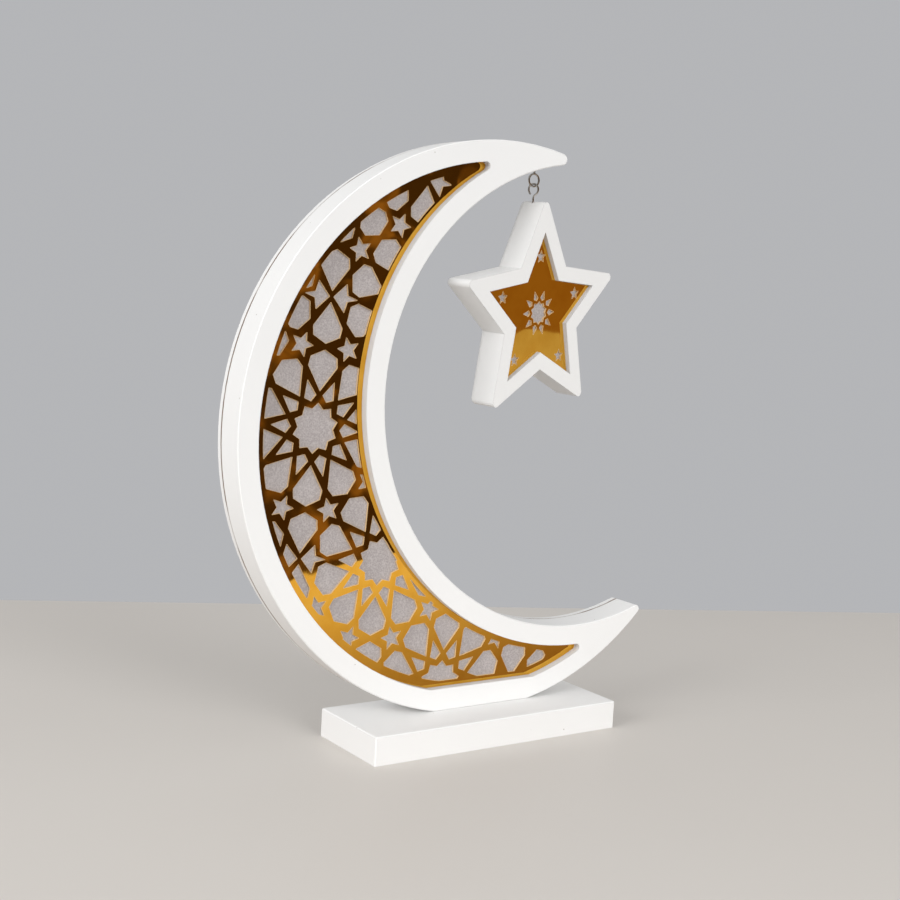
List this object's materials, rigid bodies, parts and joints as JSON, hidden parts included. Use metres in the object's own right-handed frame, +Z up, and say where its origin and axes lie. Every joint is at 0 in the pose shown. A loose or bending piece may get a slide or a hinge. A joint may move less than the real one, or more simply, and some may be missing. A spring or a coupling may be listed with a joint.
{
  "type": "eid crescent ornament",
  "caption": "Standing crescent on a flat base, its window filled with pierced gold strapwork over a lit diffuser, with a matching star hung from the upper horn.",
  "frame": {"origin": "middle of the base's underside", "axes": "+Z up, front facing -Y, +X to the right as seen from the front"},
  "size_m": [0.2602, 0.0629, 0.3146],
  "materials": {
    "white_board": "satin white paint on fibreboard",
    "gold_mirror": "gold mirror acrylic",
    "opal_sheet": "finely grained translucent sheet",
    "steel_wire": "nickel-plated wire",
    "steel_screw": "zinc-plated",
    "strip_film": "white flexible circuit film",
    "chip_resin": "phosphor resin in a white case",
    "lead_sleeve": "white wire sleeve",
    "box_plastic": "fine matt grain",
    "pad_foam": "white foam tape",
    "cell_sleeve": "satin sleeve, bare ends",
    "contact_spring": "nickel-plated sheet",
    "switch_plastic": "black moulded plastic"
  },
  "bodies": {
    "stand": {"base_plate": "white_board", "base_screws": "steel_screw", "crescent_body": "white_board", "crescent_back_panel": "white_board", "back_panel_screws": "steel_screw", "crescent_fretwork": "gold_mirror", "crescent_diffuser": "opal_sheet", "led_strip": "strip_film", "led_chips": "chip_resin", "led_leads": "lead_sleeve", "battery_box": "box_plastic", "battery_box_pad": "pad_foam", "battery_cells": "cell_sleeve", "battery_contacts": "contact_spring", "switch_body": "switch_plastic"},
    "eye": {"star_eye": "steel_wire"},
    "star": {"star_hook": "steel_wire", "star_body": "white_board", "star_fretwork": "gold_mirror", "star_backing": "opal_sheet"},
    "cover": {"battery_cover": "box_plastic"},
    "slider": {"switch_slider": "switch_plastic"}
  },
  "joints": [
    {"name": "eye_turn", "type": "hinge", "parent": "stand", "child": "eye", "pos_m": [0.0252, 0.0062, 0.29316], "axis": [0, 0, 1], "range_deg": [-60, 60]},
    {"name": "star_swing", "type": "hinge", "parent": "eye", "child": "star", "pos_m": [0.0252, 0.0062, 0.29316], "axis": [1, 0, 0], "range_deg": [-20, 20]},
    {"name": "battery_cover_slide", "type": "slide", "parent": "stand", "child": "cover", "axis": [0, 0, 1], "range_m": [0, 0.045]},
    {"name": "switch_slide", "type": "slide", "parent": "stand", "child": "slider", "axis": [1, 0, 0], "range_m": [0, 0.003]}
  ]
}
